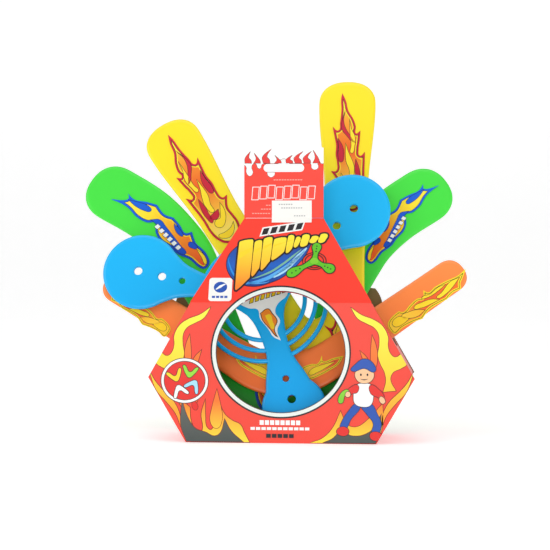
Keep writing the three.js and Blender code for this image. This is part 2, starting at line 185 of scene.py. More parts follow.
def shifted(line, distance):
    """Each point moved to the left of the line by the distance."""
    moved = []
    count = len(line)
    for i, point in enumerate(line):
        a = (point - line[i - 1]).normalized()
        b = (line[(i + 1) % count] - point).normalized()
        along = (a + b).normalized() if (a + b).length > 1e-6 else a
        left = Vector((-along.y, along.x))
        reach = max(0.4, left.dot(Vector((-a.y, a.x))))
        moved.append(point + left * distance / reach)
    return moved


def to_segment(point, a, b):
    along = b - a
    share = (point - a).dot(along) / max(along.length_squared, 1e-9)
    return (point - a - along * min(max(share, 0.0), 1.0)).length


def inset(line, distance):
    """The outline that lies inside this one by the distance, or outside it if that is negative.

    Points that end up much closer to some side than the distance are left out.
    """
    ring = anticlockwise(line)
    closest = 0.93
    limit = abs(distance) * closest
    sides = list(zip(ring, ring[1:] + ring[:1]))
    kept = []
    for point in shifted(ring, distance):
        if min(to_segment(point, a, b) for a, b in sides) >= limit:
            kept.append(point)
    return kept


def stroke(points, widths, steps=8):
    """A brush stroke along an open line: half widths at its points, ends sharp where they are 0."""
    line = curve(points, steps, closed=False)
    last = len(line) - 1
    left, right = [], []
    for i, point in enumerate(line):
        along = (line[min(i + 1, last)] - line[max(i - 1, 0)]).normalized()
        across = Vector((-along.y, along.x))
        place = i / last * (len(widths) - 1)
        low = min(int(place), len(widths) - 2)
        share = place - low
        width = widths[low] + (widths[low + 1] - widths[low]) * share
        if width < 1e-4:
            left.append(point.copy())
            continue
        left.append(point + across * width)
        right.append(point - across * width)
    return left + right[::-1]


# ---- materials -------------------------------------------------------------------------------

def srgb(red, green, blue):
    """A screen colour as the linear values that a shader takes."""
    def linear(value):
        value /= 255
        return value / 12.92 if value <= 0.04045 else ((value + 0.055) / 1.055) ** 2.4
    return (linear(red), linear(green), linear(blue), 1.0)


def node(tree, kind, settings=None, inputs=None):
    made = tree.nodes.new(kind)
    for key, value in (settings or {}).items():
        setattr(made, key, value)
    for key, value in (inputs or {}).items():
        made.inputs[key].default_value = value
    return made


def colour_ramp(tree, stops):
    ramp = node(tree, "ShaderNodeValToRGB")
    elements = ramp.color_ramp.elements
    while len(elements) < len(stops):
        elements.new(0.5)
    for element, (place, colour) in zip(elements, stops):
        element.position = place
        element.color = colour
    return ramp


CLOUD_SCALE = 26.0                     # noise cells to a metre in the mottled tone
GRAIN_DEEP = 0.0002                    # metres


def finish_material(name, stops, across, roughness, grain, mottle, bump, gleam=0.3):
    """A surface with a run of colours, a mottled tone, uneven gloss and a fine grain.

    across is (a texture coordinate, axis, from, to): the run of colours goes between those places.
    """
    material = bpy.data.materials.new(name)
    material.use_nodes = True
    tree = material.node_tree
    shader = tree.nodes["Principled BSDF"]
    shader.inputs["Specular IOR Level"].default_value = gleam
    link = tree.links.new

    places = node(tree, "ShaderNodeTexCoord")
    source, axis, low, high = across
    parts = node(tree, "ShaderNodeSeparateXYZ")
    link(places.outputs[source], parts.inputs[0])
    spread = node(tree, "ShaderNodeMapRange", inputs={"From Min": low, "From Max": high})
    link(parts.outputs[axis], spread.inputs["Value"])
    ramp = colour_ramp(tree, stops)
    link(spread.outputs["Result"], ramp.inputs["Fac"])

    clouds = node(tree, "ShaderNodeTexNoise", inputs={"Scale": CLOUD_SCALE, "Detail": 4.0})
    link(places.outputs["Object"], clouds.inputs["Vector"])
    tone = colour_ramp(tree, [(0.3, (1 - mottle, 1 - mottle, 1 - mottle, 1)), (0.7, (1, 1, 1, 1))])
    link(clouds.outputs["Fac"], tone.inputs["Fac"])
    mixed = node(tree, "ShaderNodeMix", {"data_type": "RGBA", "blend_type": "MULTIPLY"})
    mixed.inputs["Factor"].default_value = 1.0
    link(ramp.outputs["Color"], mixed.inputs["A"])
    link(tone.outputs["Color"], mixed.inputs["B"])
    link(mixed.outputs["Result"], shader.inputs["Base Color"])

    fine = node(tree, "ShaderNodeTexNoise", inputs={"Scale": grain, "Detail": 3.0, "Roughness": 0.6})
    link(places.outputs["Object"], fine.inputs["Vector"])
    gloss = node(tree, "ShaderNodeMapRange",
                 inputs={"To Min": roughness * 0.8, "To Max": roughness * 1.25})
    link(fine.outputs["Fac"], gloss.inputs["Value"])
    link(gloss.outputs["Result"], shader.inputs["Roughness"])
    relief = node(tree, "ShaderNodeBump", inputs={"Strength": bump, "Distance": GRAIN_DEEP})
    link(fine.outputs["Fac"], relief.inputs["Height"])
    link(relief.outputs["Normal"], shader.inputs["Normal"])
    return material


def ink(name, *colours, across=("UV", "Y", 0.0, 1.0)):
    """Printing ink under a glossy varnish, running through the colours along the art."""
    shades = [srgb(*colour) for colour in colours]
    if len(shades) == 1:
        shades = [shades[0], shades[0]]
    stops = [(i / (len(shades) - 1), shade) for i, shade in enumerate(shades)]
    return finish_material(name, stops, across, roughness=0.34, grain=900, mottle=0.03, bump=0.05)


def moulded(name, colour, shaded_bottom_colour):
    """Moulded plastic: its own colour high up, running to a darker one towards the bottom, which is painted
    shade from the carton around the lower parts.
    """
    stops = [(0.0, srgb(*shaded_bottom_colour)), (1.0, srgb(*colour))]
    # The run towards the darker colour, from 30 mm to 160 mm up, is painted shade.
    return finish_material(name, stops, ("Object", "Z", 0.03, 0.16), roughness=0.3, grain=420,
                           mottle=0.03, bump=0.06, gleam=0.4)


# The second colour of each plastic is painted shade: darker low down, where the carton shades the
# boomerangs.
BLUE = moulded("blue_moulded", (18, 184, 246), (12, 168, 240))
ORANGE = moulded("orange_moulded", (255, 150, 76), (255, 116, 50))
YELLOW = moulded("yellow_moulded", (255, 230, 38), (255, 222, 34))
GREEN = moulded("green_moulded", (70, 226, 68), (40, 190, 52))

KRAFT_TONE = (124, 104, 66)
SIDE_RED = (234, 58, 42)
HEADER_TONE = (247, 60, 42)


def printed_board(name, red, side, low, high):
    """Board that is printed red on its outer face and is plain inside, told apart by the normal."""
    stops = [(0.0, srgb(*red)), (0.3, srgb(*red)), (0.34, srgb(*KRAFT_TONE)), (1.0, srgb(*KRAFT_TONE))]
    return finish_material(name, stops, ("Normal", side, low, high), roughness=0.36, grain=700,
                           mottle=0.03, bump=0.06)


# The front panel's red is paler than the header's: painted sheen, for the one print that looks lighter on
# the upright front panel.
CARD_RED = printed_board("card_red", (238, 70, 54), "Y", -1, 1)
HEADER_BOARD = printed_board("header_board", HEADER_TONE, "Y", -1, 1)
LEFT_BOARD = printed_board("left_board", SIDE_RED, "X", -1, 1)
RIGHT_BOARD = printed_board("right_board", SIDE_RED, "X", 1, -1)
HEADER_RED = ink("header_red", HEADER_TONE)
KRAFT = finish_material(
    "kraft_board", [(0.0, srgb(120, 100, 62)), (1.0, srgb(134, 116, 76))], ("Object", "Z", 0.0, 0.12),
    roughness=0.85, grain=520, mottle=0.22, bump=0.5)
LABEL_PAPER = finish_material(
    "label_paper", [(0.0, srgb(244, 243, 238)), (1.0, srgb(250, 249, 246))], ("UV", "Y", 0, 1),
    roughness=0.6, grain=700, mottle=0.03, bump=0.12)

WHITE = ink("ink_white", (246, 247, 244))
RING_WHITE = ink("ink_ring_white", (228, 236, 231))
BLACK = ink("ink_black", (34, 32, 36))
GREY = ink("ink_grey", (70, 80, 78), (96, 98, 92), across=("UV", "Y", 0.0, 0.3))
FLAME_LINE = ink("ink_flame_line", (120, 30, 24))
CARD_YELLOW = ink("ink_flame_yellow", (250, 150, 40), (255, 214, 52), (255, 238, 70),
                  across=("UV", "Y", 0.15, 0.95))
CARD_ORANGE = ink("ink_flame_orange", (236, 70, 40), (248, 140, 44), across=("UV", "Y", 0.2, 0.95))
CARD_LOW = ink("ink_flame_low", (255, 226, 60), (246, 120, 40), across=("UV", "Y", 0.0, 0.32))
PRINT_RED = ink("ink_red", (226, 44, 38))
TITLE = ink("ink_title", (246, 120, 44), (252, 196, 48), (253, 236, 60), across=("UV", "Y", 0.1, 0.58))
SWOOSH = ink("ink_swoosh", (24, 44, 120), (30, 96, 190), (36, 66, 150), across=("UV", "Y", 0.12, 0.5))
STREAK_BLUE = ink("ink_streak_blue", (40, 140, 224), (110, 190, 240), across=("UV", "X", -0.4, 0.2))
STREAK_GREEN = ink("ink_streak_green", (120, 180, 150))
PALE_BLUE = ink("ink_pale_blue", (166, 220, 246))
LEAF = ink("ink_leaf", (96, 192, 34), (150, 216, 60), across=("UV", "Y", 0.2, 0.5))
PALE_RED = ink("ink_pale_red", (252, 168, 156))
SKIN = ink("ink_skin", (246, 196, 150))
FIGURE_BLUE = ink("ink_figure_blue", (38, 84, 176))
FAINT = ink("ink_faint_grey", (176, 176, 176))

ALONG = ("UV", "X", 0.0, 1.0)
FLAME = ink("sticker_flame", (238, 66, 30), (250, 142, 34), (255, 226, 50), (255, 240, 96),
            across=ALONG)
FLAME_HOT = ink("sticker_hot", (250, 214, 60), (240, 96, 52), (246, 120, 44), (252, 208, 48),
                across=ALONG)
FLAME_ROOT = ink("sticker_root", (246, 236, 110), (250, 190, 60), (238, 92, 38), (250, 160, 50),
                 (253, 226, 70), across=ALONG)
FLAME_CORE = ink("sticker_core", (255, 232, 70), (252, 150, 40), (240, 84, 36), across=ALONG)
EDGE_BLUE = ink("sticker_blue", (20, 70, 190), (24, 104, 222), across=ALONG)
EDGE_CRIMSON = ink("sticker_crimson", (196, 32, 52), (208, 46, 66), across=ALONG)
EDGE_YELLOW = ink("sticker_yellow", (252, 214, 40), (255, 236, 60), across=ALONG)


# ---- building pieces -------------------------------------------------------------------------

def add(name, data):
    """A new object in the scene."""
    made = bpy.data.objects.new(name, data)
    bpy.context.scene.collection.objects.link(made)
    return made


class Piece:
    """One object made of closed parts, each with its own material, drawn on one surface."""

    def __init__(self, name, base):
        self.name = name
        self.base = base
        self.mesh = bmesh.new()
        self.art = self.mesh.loops.layers.uv.new("art")
        self.places = {}
        self.materials = []

    def material_index(self, material):
        if material not in self.materials:
            self.materials.append(material)
        return self.materials.index(material)

    def ring(self, line, height, placing):
        ring = []
        for point in line:
            flat = placing @ Vector((point.x, point.y, height))
            vertex = self.mesh.verts.new(self.base @ flat)
            self.places[vertex] = (point.x / ART_UNIT, point.y / ART_UNIT)
            ring.append(vertex)
        return ring

    def face(self, vertices, index, smooth):
        made = self.mesh.faces.new(vertices)
        made.material_index = index
        made.smooth = smooth
        for loop in made.loops:
            loop[self.art].uv = self.places[loop.vert]
        return made

    def band(self, low, high, index, smooth):
        count = len(low)
        return [self.face((low[i], low[(i + 1) % count], high[(i + 1) % count], high[i]), index, smooth)
                for i in range(count)]

    def cap(self, rings, index, smooth):
        vertices = [vertex for ring in rings for vertex in ring]
        outlines = [[Vector((*self.places[vertex], 0)) for vertex in ring] for ring in rings]
        made = []
        for corners in tessellate_polygon(outlines):
            made.append(self.face([vertices[i] for i in corners], index, smooth))
        return made

    def close(self, faces):
        bmesh.ops.recalc_face_normals(self.mesh, faces=faces)

    def film(self, line, material, low, high=None, holes=(), placing=None):
        """A flat film with square edges."""
        if len(line) < 3:
            return
        placing = placing or put()
        high = low + INK if high is None else high
        index = self.material_index(material)
        loops = [anticlockwise(line)] + [anticlockwise(hole)[::-1] for hole in holes]
        faces, tops, bottoms = [], [], []
        for loop in loops:
            bottoms.append(self.ring(loop, low, placing))
            tops.append(self.ring(loop, high, placing))
            faces += self.band(bottoms[-1], tops[-1], index, False)
        faces += self.cap(tops, index, False) + self.cap(bottoms, index, False)
        self.close(faces)

    def plate(self, line, material, holes=(), placing=None):
        """A moulded plate with a rounded rim. Its front face lies at height 0."""
        placing = placing or put()
        index = self.material_index(material)
        steps = 7
        front = [(RIM_WIDE * (1 - cos(pi / 2 * i / steps)), -RIM_DEEP * (1 - sin(pi / 2 * i / steps)))
                 for i in range(steps + 1)]
        front.append((RIM_WIDE + RIM_FLAT, 0.0))
        back = [(wide, -BLADE_THICK - height) for wide, height in reversed(front)]
        faces, tops, bottoms = [], [], []
        loops = [(anticlockwise(line), 1.0)]
        loops += [(anticlockwise(hole)[::-1], HOLE_RIM) for hole in holes]
        for loop, share in loops:
            rings = [self.ring(shifted(loop, wide * share), height, placing)
                     for wide, height in back + front]
            for low, high in zip(rings, rings[1:]):
                faces += self.band(low, high, index, True)
            bottoms.append(rings[0])
            tops.append(rings[-1])
        faces += self.cap(tops, index, True) + self.cap(bottoms, index, True)
        self.close(faces)

    def hoop(self, centre, radius, profile, material, steps=120):
        """A round bar that runs in a circle, with the profile's (distance, height) points."""
        index = self.material_index(material)
        rings = []
        for wide, height in profile + profile[:1]:
            line = ellipse(centre, radius + wide, radius + wide, steps=steps)
            rings.append(self.ring(line, height, put()))
        faces = []
        for low, high in zip(rings, rings[1:]):
            faces += self.band(low, high, index, True)
        bmesh.ops.remove_doubles(self.mesh, verts=rings[0] + rings[-1], dist=1e-7)
        self.close([face for face in faces if face.is_valid])

    def bar(self, rows, low, high, material):
        """A bent strip along X between two rows of (up, out) points, low and high being its ends."""
        index = self.material_index(material)
        ends = []
        for places in (low, high):
            end = []
            for (up, out), x in zip(rows[0] + rows[1][::-1], places + places[::-1]):
                vertex = self.mesh.verts.new(self.base @ Vector((x, up, out)))
                self.places[vertex] = (x / ART_UNIT, up / ART_UNIT)
                end.append(vertex)
            ends.append(end)
        faces = self.band(ends[0], ends[1], index, False)
        for end in ends:
            faces += [self.face((end[i], end[i + 1], end[-2 - i], end[-1 - i]), index, False)
                      for i in range(len(rows[0]) - 1)]
        self.close(faces)

    def make(self):
        """The finished object, not yet on any body."""
        data = bpy.data.meshes.new(self.name)
        self.mesh.to_mesh(data)
        self.mesh.free()
        for material in self.materials:
            data.materials.append(material)
        return add(self.name, data)

    def finish(self, body, slot, *stands_for):
        piece = self.make()
        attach(piece, body)
        if stands_for:
            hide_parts(*stands_for)
        return piece


class Print(Piece):
    """Films printed one on another, each a step further out."""

    def __init__(self, name, base, height=PRINT_GAP):
        super().__init__(name, base)
        self.height = height

    def ink(self, line, material, level, outline=None, line_width=0.0, placing=None):
        """One shape at a level, with an outline around it if one is asked for."""
        low = self.height + level * INK
        if outline:
            self.film(inset(line, -line_width), outline, low, placing=placing)
            low += INK
        self.film(line, material, low, placing=placing)


# ---- boomerangs ------------------------------------------------------------------------------

def smoothstep(value, low, high):
    share = min(max((value - low) / (high - low), 0.0), 1.0)
    return share * share * (3 - 2 * share)


def width_at(stops, share):
    """The half width, share being 0 at the elbow and 1 at a tip."""
    for (low, a), (high, b) in zip(stops, stops[1:]):
        if share <= high:
            return a + (b - a) * smoothstep(share, low, high)
    return stops[-1][1]


def spaced(line, count):
    """Evenly spaced points along an open line."""
    lengths = [0.0]
    for a, b in zip(line, line[1:]):
        lengths.append(lengths[-1] + (b - a).length)
    points = []
    k = 0
    for i in range(count + 1):
        goal = lengths[-1] * i / count
        while k < len(line) - 2 and lengths[k + 1] < goal:
            k += 1
        run = max(lengths[k + 1] - lengths[k], 1e-9)
        points.append(line[k].lerp(line[k + 1], min((goal - lengths[k]) / run, 1.0)))
    return points


def bent_line(vertex, bisector, half, radius, arms):
    """Two straight arms joined by an arc, from the left tip to the right one."""
    left = radians(bisector + half)
    right = radians(bisector - half)
    reach = radius / sin(radians(half))
    centre = Vector(vertex) + Vector((cos(radians(bisector)), sin(radians(bisector)))) * reach
    tips = [Vector(vertex) + Vector((cos(a), sin(a))) * arm for a, arm in zip((left, right), arms)]
    start = left + pi / 2
    sweep = right - left + pi
    steps = 60
    arc = [centre + Vector((cos(start + sweep * i / steps), sin(start + sweep * i / steps))) * radius
           for i in range(steps + 1)]
    return [tips[0]] + arc + [tips[1]]


def through(points, steps=20):
    """A uniform Catmull-Rom spline through the points."""
    knots = [Vector(point) for point in points]
    line = []
    last = len(knots) - 1
    for i in range(last):
        a, b, c, d = knots[max(i - 1, 0)], knots[i], knots[i + 1], knots[min(i + 2, last)]
        for step in range(steps):
            t = step / steps
            line.append(b + ((c - a) * t + (a * 2 - b * 5 + c * 4 - d) * t * t
                             + (b * 3 - a - c * 3 + d) * t ** 3) * 0.5)
    line.append(knots[-1])
    return line


def band_outline(line, stops, end, count=150):
    """The outline of a bent band with rounded ends: half widths by the stops, ends that long."""
    centre = spaced(line, count)
    left, right = [], []
    for i, point in enumerate(centre):
        along = (centre[min(i + 1, count)] - centre[max(i - 1, 0)]).normalized()
        across = Vector((-along.y, along.x)) * width_at(stops, abs(2 * i / count - 1))
        left.append(point + across)
        right.append(point - across)

    def cap(start, finish):
        middle = (start + finish) / 2
        across = start - middle
        outward = Vector((across.y, -across.x)).normalized() * end
        points = []
        steps = 26
        for i in range(1, steps):
            angle = pi / 2 - pi * i / steps
            side = 1 if sin(angle) > 0 else -1
            points.append(middle + across * side * abs(sin(angle)) ** END_ROUNDNESS
                          + outward * abs(cos(angle)) ** END_ROUNDNESS)
        return points

    return left + cap(left[-1], right[-1]) + right[::-1] + cap(right[0], left[0])


def thinned(line, least=0.35):
    """The line without points that lie closer together than the least distance."""
    kept = [line[0]]
    for point in line[1:]:
        if (point - kept[-1]).length > least:
            kept.append(point)
    if (kept[-1] - kept[0]).length < least:
        kept.pop()
    return kept


HUB = (-17, 114.8)
HUB_TURN = 167                         # direction of the first blade
LOBES = [(101.5, 31), (90.5, 25), (101.5, 31)]
HOLLOW = [(9, 15.6), (19, 12.2), (34, 10), (48, 9.7), (58, 11.4), (69, 15)]
JOIN = 134                             # where a blade's edge runs into its lobe
HOLES = [(67, 2.6), (84, 3.2), (104, 3.3)]
BRACES = [33, 41.6, 50.2]
BRACE_HALF = 1.7
BRACE_BACK = 0.7                       # from the blades' back face out to a brace ring's


def lobed_blade(at, radius):
    """One blade's outline, from the hollow on one side round the lobe to the other side."""
    end = (at + radius * cos(radians(JOIN)), radius * sin(radians(JOIN)))
    stretch = end[0] / (LOBES[0][0] + LOBES[0][1] * cos(radians(JOIN)))
    knots = [HOLLOW[0]] + [(x * stretch, y) for x, y in HOLLOW[1:]] + [end]
    half = spaced(through(knots), 44)[:-1] + ellipse((at, 0), radius, radius, JOIN, 0, steps=44)
    return half + [Vector((point.x, -point.y)) for point in half[-2:0:-1]]


def tri_blade():
    line = []
    holes = []
    for i in (0, 2, 1):                # clockwise, like each blade's own outline
        at, radius = LOBES[i]
        turned = Matrix.Rotation(radians(HUB_TURN + 120 * i), 2)
        line += [turned @ point for point in lobed_blade(at, radius)]
        holes += [ellipse(turned @ Vector((distance, 0)), size, size, steps=28)
                  for distance, size in HOLES]
    piece = Piece("blue_moulding", blade_surface(0))
    piece.plate(thinned(line), BLUE, holes, put(HUB))
    side = [(BRACE_HALF, BRACE_BACK - BLADE_THICK), (BRACE_HALF, -1.7), (1.3, -0.95), (0.6, -0.6)]
    profile = side + [(-wide, height) for wide, height in reversed(side)]
    for radius in BRACES:
        piece.hoop(HUB, radius, profile, BLUE)
    piece.finish("blue", "blue_plastic", "blue_tri_blade_boomerang")


def bent_blades():
    orange = bent_line((3.4, 43.9), 92.5, 56.5, 60, (160, 156))
    yellow = bent_line((47, 25.4), 106.1, 16.1, 24.6, (269, 262))
    green = through([(-145, 211), (-112, 190), (-83, 158), (-62, 120), (-46, 83), (-31, 50), (-17, 31),
                     (3, 24), (20, 32), (30, 52), (36, 80), (40, 108), (48, 138), (62, 166), (84, 190),
                     (108.6, 207.7)])
    blades = [
        ("orange", ORANGE, 1, orange, [(0, 17.6), (0.4, 14.6), (1, 13.5)], 13.5),
        ("yellow", YELLOW, 2, yellow, [(0, 16.4), (0.35, 15.4), (0.62, 17.6), (1, 23.4)], 20),
        ("green", GREEN, 3, green, [(0, 16), (0.4, 16), (0.7, 22.4), (1, 23.8)], 23.8),
    ]
    for colour, material, index, line, stops, end in blades:
        piece = Piece(f"{colour}_moulding", blade_surface(index))
        piece.plate(thinned(band_outline(line, stops, end)), material)
        piece.finish(colour, f"{colour}_plastic", f"{colour}_boomerang")


# ---- stickers --------------------------------------------------------------------------------

# Each flame has its root at the origin and its tip along +X.
GREEN_FLAME = [
    (101, 0, TIP), (92, -5), (89, -9), (92, -12, TIP), (84, -11), (75, -15), (66, -18, TIP), (56, -15),
    (48, -17, TIP), (40, -15), (32, -12), (28, -16, TIP), (24, -13), (19, -10), (11, -9), (5, -7),
    (0, -3), (0, 3), (5, 5), (15, 4), (26, 6), (35, 5), (45, 5), (53, 1), (57, -5), (64, -1),
    (74, 0), (83, -2), (91, -2)]
GREEN_CORES = [
    (EDGE_BLUE, [(88, -8, TIP), (80, -7), (72, -8), (67, -11), (72, -13), (80, -11)]),
    (EDGE_BLUE, [(62, -5, TIP), (54, -4), (46, -2), (38, 1), (30, 4), (23, 4), (21, 1), (28, -1),
                 (38, -4), (48, -7), (56, -9)]),
    (EDGE_BLUE, [(44, -13, TIP), (38, -12), (32, -9), (36, -8), (41, -10)]),
    (EDGE_BLUE, [(24, -8), (19, -9), (16, -7), (19, -5), (23, -5)]),
    (EDGE_YELLOW, [(15, -6, TIP), (9, -6), (3, -3), (2, 0), (8, -3)]),
]
YELLOW_FLAME = [
    (102, 0, TIP), (94, -2.5), (86, -3.5), (78, -7), (71, -8.5), (65, -8), (67, -12, TIP), (58, -10.5),
    (51, -9), (45, -9.5), (48, -14, TIP), (39, -13), (31, -12), (23, -11.5), (14, -11.5), (6, -9.5),
    (0, -5), (-2, 2), (3, 9), (10, 11.5), (18, 11), (25, 10.5), (34, 15, TIP), (34, 10.5), (41, 9.5),
    (48, 10), (56, 9), (63, 9.5), (73, 10.5, TIP), (69, 6), (76, 4), (87, 2), (96, 1.5)]
YELLOW_CORES = [
    (EDGE_CRIMSON, [(86, -1, TIP), (78, 1), (70, 0), (62, -4), (57, -6), (63, -1), (71, 3)]),
    (EDGE_YELLOW, [(78, -4, TIP), (70, -4.5), (62, -7), (54, -6), (48, -3), (55, -3.5), (64, -3.5)]),
    (EDGE_CRIMSON, [(62, 7, TIP), (55, 4), (47, 3.5), (41, 6), (46, 8), (54, 7)]),
    (EDGE_YELLOW, [(57, 1, TIP), (49, -0.5), (41, -3), (34, -4), (27, -1), (34, 0), (42, 2)]),
    (EDGE_CRIMSON, [(42, -6, TIP), (34, -8), (26, -8), (20, -5.5), (28, -5), (34, -4.5)]),
    (EDGE_YELLOW, [(31, 7, TIP), (24, 7), (17, 4), (13, -1), (16, -5), (20, -3), (20, 1), (25, 4)]),
    (EDGE_CRIMSON, [(27, 3, TIP), (22, 1), (21, -3), (24, -6), (26, -2)]),
    (EDGE_YELLOW, [(12, 8, TIP), (7, 6), (3, 1), (4, -4), (8, -7), (8, -2), (9, 4)]),
]
ORANGE_FLAME = [
    (77, 0, TIP), (70, -4), (66, -6), (63, -10, TIP), (56, -8), (49, -9, TIP), (41, -7), (33, -6),
    (24, -8, TIP), (16, -5), (7, -3), (0, -3), (-1, 2), (1, 7), (7, 9), (14, 9, TIP), (17, 6), (24, 7),
    (32, 7), (36, 5), (40, 9, TIP), (42, 5), (48, 5), (58, 3), (68, 0)]
ORANGE_CORES = [
    (EDGE_YELLOW, [(68, -2, TIP), (60, -4), (52, -5), (44, -3), (50, -2), (60, 0)]),
    (EDGE_YELLOW, [(56, 1, TIP), (48, 1), (40, 2), (35, 5), (42, 3), (50, 3)]),
    (EDGE_YELLOW, [(44, -5, TIP), (36, -3), (30, -1), (25, 3), (33, 2), (40, -1)]),
    (FLAME_CORE, [(30, -4, TIP), (23, -4), (17, -1), (13, 4), (20, 3), (26, 0)]),
    (EDGE_YELLOW, [(16, -1, TIP), (10, -1), (4, 1), (4, 5), (10, 6), (14, 3)]),
]
ELBOW_FLAME = [
    (46, 2, TIP), (38, -4), (28, -6), (18, -7), (8, -7), (0, -4), (-1, 2), (4, 7), (14, 7), (20, 5),
    (27, 11, TIP), (26, 5), (36, 4)]
ELBOW_CORES = [
    (EDGE_YELLOW, [(36, 0, TIP), (26, -2), (16, -3), (8, -2), (12, 2), (22, 2)]),
]
HUB_LABEL = [
    (-35, 110, TIP), (-28, 107), (-21, 106), (-19, 99), (-12, 90), (-8, 84), (-2, 81, TIP), (-5, 89),
    (-3, 97), (-7, 104), (-5, 111), (2, 118), (1, 123), (-12, 125), (-27, 119)]

# For each colour: blade, edge ink, width of that edge, inner ink, outline and cores.
STICKER_STYLES = {
    "orange": (1, EDGE_YELLOW, 0.9, FLAME_HOT, ORANGE_FLAME, ORANGE_CORES),
    "yellow": (2, EDGE_CRIMSON, 1.4, FLAME_ROOT, YELLOW_FLAME, YELLOW_CORES),
    "green": (3, EDGE_BLUE, 1.8, FLAME, GREEN_FLAME, GREEN_CORES),
}
STICKER_PLACES = {
    "orange_sticker_left": dict(at=(-94, 87), turn=139.7, scale=0.845, mirror=True),
    "orange_sticker_right": dict(at=(85.4, 90.7), turn=41.8),
    "orange_sticker_elbow_left": dict(at=(-6, 54), turn=156, scale=0.8, mirror=True),
    "orange_sticker_elbow_right": dict(at=(14, 54), turn=24, scale=0.8),
    "yellow_sticker_left": dict(at=(-45, 168.3), turn=121.7, scale=1.06, mirror=True),
    "yellow_sticker_right": dict(at=(52.7, 195), turn=95.6),
    "yellow_sticker_elbow": dict(at=(40, 66), turn=84, scale=1.1),
    "green_sticker_left": dict(at=(-65.2, 148.2), turn=145.1),
    "green_sticker_right": dict(at=(65.2, 151.8), turn=48.8, scale=0.86, mirror=True),
    "green_sticker_elbow": dict(at=(-10, 30), turn=112, scale=1.1),
}
LINE_WIDTH = 0.4                       # the black line inside a sticker's edge
LINER_WIDTH = 0.8                      # the yellow line inside the black one
STICKER_STEPS = 5                      # sides to each stretch of a sticker's curves


def flame_stickers():
    for name, place in STICKER_PLACES.items():
        body = name.split("_")[0]
        index, edge, border, inner, outline, cores = STICKER_STYLES[body]
        if "elbow" in name:
            outline, cores = ELBOW_FLAME, ELBOW_CORES
        top = STICKER_GAP + STICKER_THICK
        piece = Print(f"{name}_print", blade_surface(index), top)
        placing = put(**place)
        line = curve(outline, STICKER_STEPS)
        piece.film(line, edge, STICKER_GAP, top, placing=placing)
        piece.ink(inset(line, border), BLACK, 0, placing=placing)
        piece.ink(inset(line, border + LINE_WIDTH), EDGE_YELLOW, 1, placing=placing)
        piece.ink(inset(line, border + LINE_WIDTH + LINER_WIDTH), inner, 2, placing=placing)
        for material, core in cores:
            piece.ink(curve(core, STICKER_STEPS), material, 3, BLACK, 0.35, placing)
        if cores is GREEN_CORES:
            for i in range(6):
                bar = block(27 + 5 * i, -0.2 - 0.9 * i, (3.2, -0.4), (0.8, 3.4))
                piece.ink(bar, WHITE, 5, BLACK, 0.3, placing)
        piece.finish(body, "flame_sticker", name)


def hub_label():
    top = STICKER_GAP + STICKER_THICK
    piece = Print("blue_hub_sticker_print", blade_surface(0), top)
    piece.film(curve(HUB_LABEL, STICKER_STEPS), WHITE, STICKER_GAP, top)
    flame = curve([(-19, 103, TIP), (-17, 97), (-11, 90), (-7, 85), (-4, 83, TIP), (-7, 90), (-5, 97),
                   (-9, 103), (-13, 107)], STICKER_STEPS)
    piece.ink(flame, BLACK, 0)
    piece.ink(inset(flame, 0.6), CARD_ORANGE, 1)
    piece.ink(curve([(-15, 101, TIP), (-12, 95), (-8, 90), (-9, 97), (-11, 102)], STICKER_STEPS),
              EDGE_YELLOW, 2)
    for i in range(7):
        bar = block(-28 + 4.3 * i, 110.5 + 1.45 * i, (3.4, 1.1), (0.8, 5.1))
        piece.ink(bar, BLACK, 0)
        piece.ink(inset(bar, 0.5), EDGE_YELLOW, 1)
    piece.finish("blue", "flame_sticker", "blue_hub_sticker")


# ---- printing on the carton ------------------------------------------------------------------

def window_ring():
    """The printed ring round the window: white with a dark edge, on both sides of the crease."""
    steps = 90
    stretch = 1 / cos(radians(HEADER_LEAN))
    below = CREASE_Z - WINDOW_Z - 0.1  # the front's half ends a little short of the crease
    centre = (WINDOW_Z - CREASE_Z) * stretch
    above = HEADER_FOLD - centre
    for material, inner, outer, level in ((BLACK, 0.0, RING_WIDTH + RING_LINE, 5),
                                          (RING_WHITE, 0.5, RING_WIDTH, 6)):
        fronts, headers = [], []
        for grow in (inner, outer):
            a = WINDOW_A + grow
            b = WINDOW_B + grow
            angle = degrees(asin(below / b))
            fronts.append(ellipse((0, WINDOW_Z), a, b, 180 - angle, 360 + angle, steps))
            b *= stretch
            angle = degrees(asin(above / b))
            headers.append(ellipse((0, centre), a, b, angle, 180 - angle, steps))
        yield "front", fronts[0] + fronts[1][::-1], material, level
        yield "header", headers[0] + headers[1][::-1], material, level


def crease_cover():
    """The printed face of the board where it bends over the crease between front and header."""
    lean = radians(HEADER_LEAN)
    runs = [-0.3, -0.1, 0.1, 0.3, 0.5, 0.7, 0.9]        # distances up from the crease
    rows = []
    for out in COVER_HEIGHTS:
        row = [(CREASE_Z + run, out) for run in runs if run < 0]
        row += [(CREASE_Z + run * cos(lean) + out * sin(lean), out * cos(lean) - run * sin(lean))
                for run in runs if run > 0]
        rows.append(row)

    def ring_edge(grow):
        rises = [(CREASE_Z - WINDOW_Z + run) / (WINDOW_B + grow) for run in runs]
        return [(WINDOW_A + grow) * (1 - rise ** 2) ** 0.5 for rise in rises]

    inner, white, dark = [ring_edge(grow) for grow in (0.0, RING_WIDTH, RING_WIDTH + RING_LINE)]
    ends = [CREASE_HALF] * len(runs)
    cover = Piece("carton_crease_cover", FRONT)
    for low, high, material in ((inner, white, RING_WHITE), (white, dark, BLACK),
                                (dark, ends, HEADER_RED)):
        for side in (-1, 1):
            cover.bar(rows, [x * side for x in low], [x * side for x in high], material)
    piece = cover.make()
    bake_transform(piece)


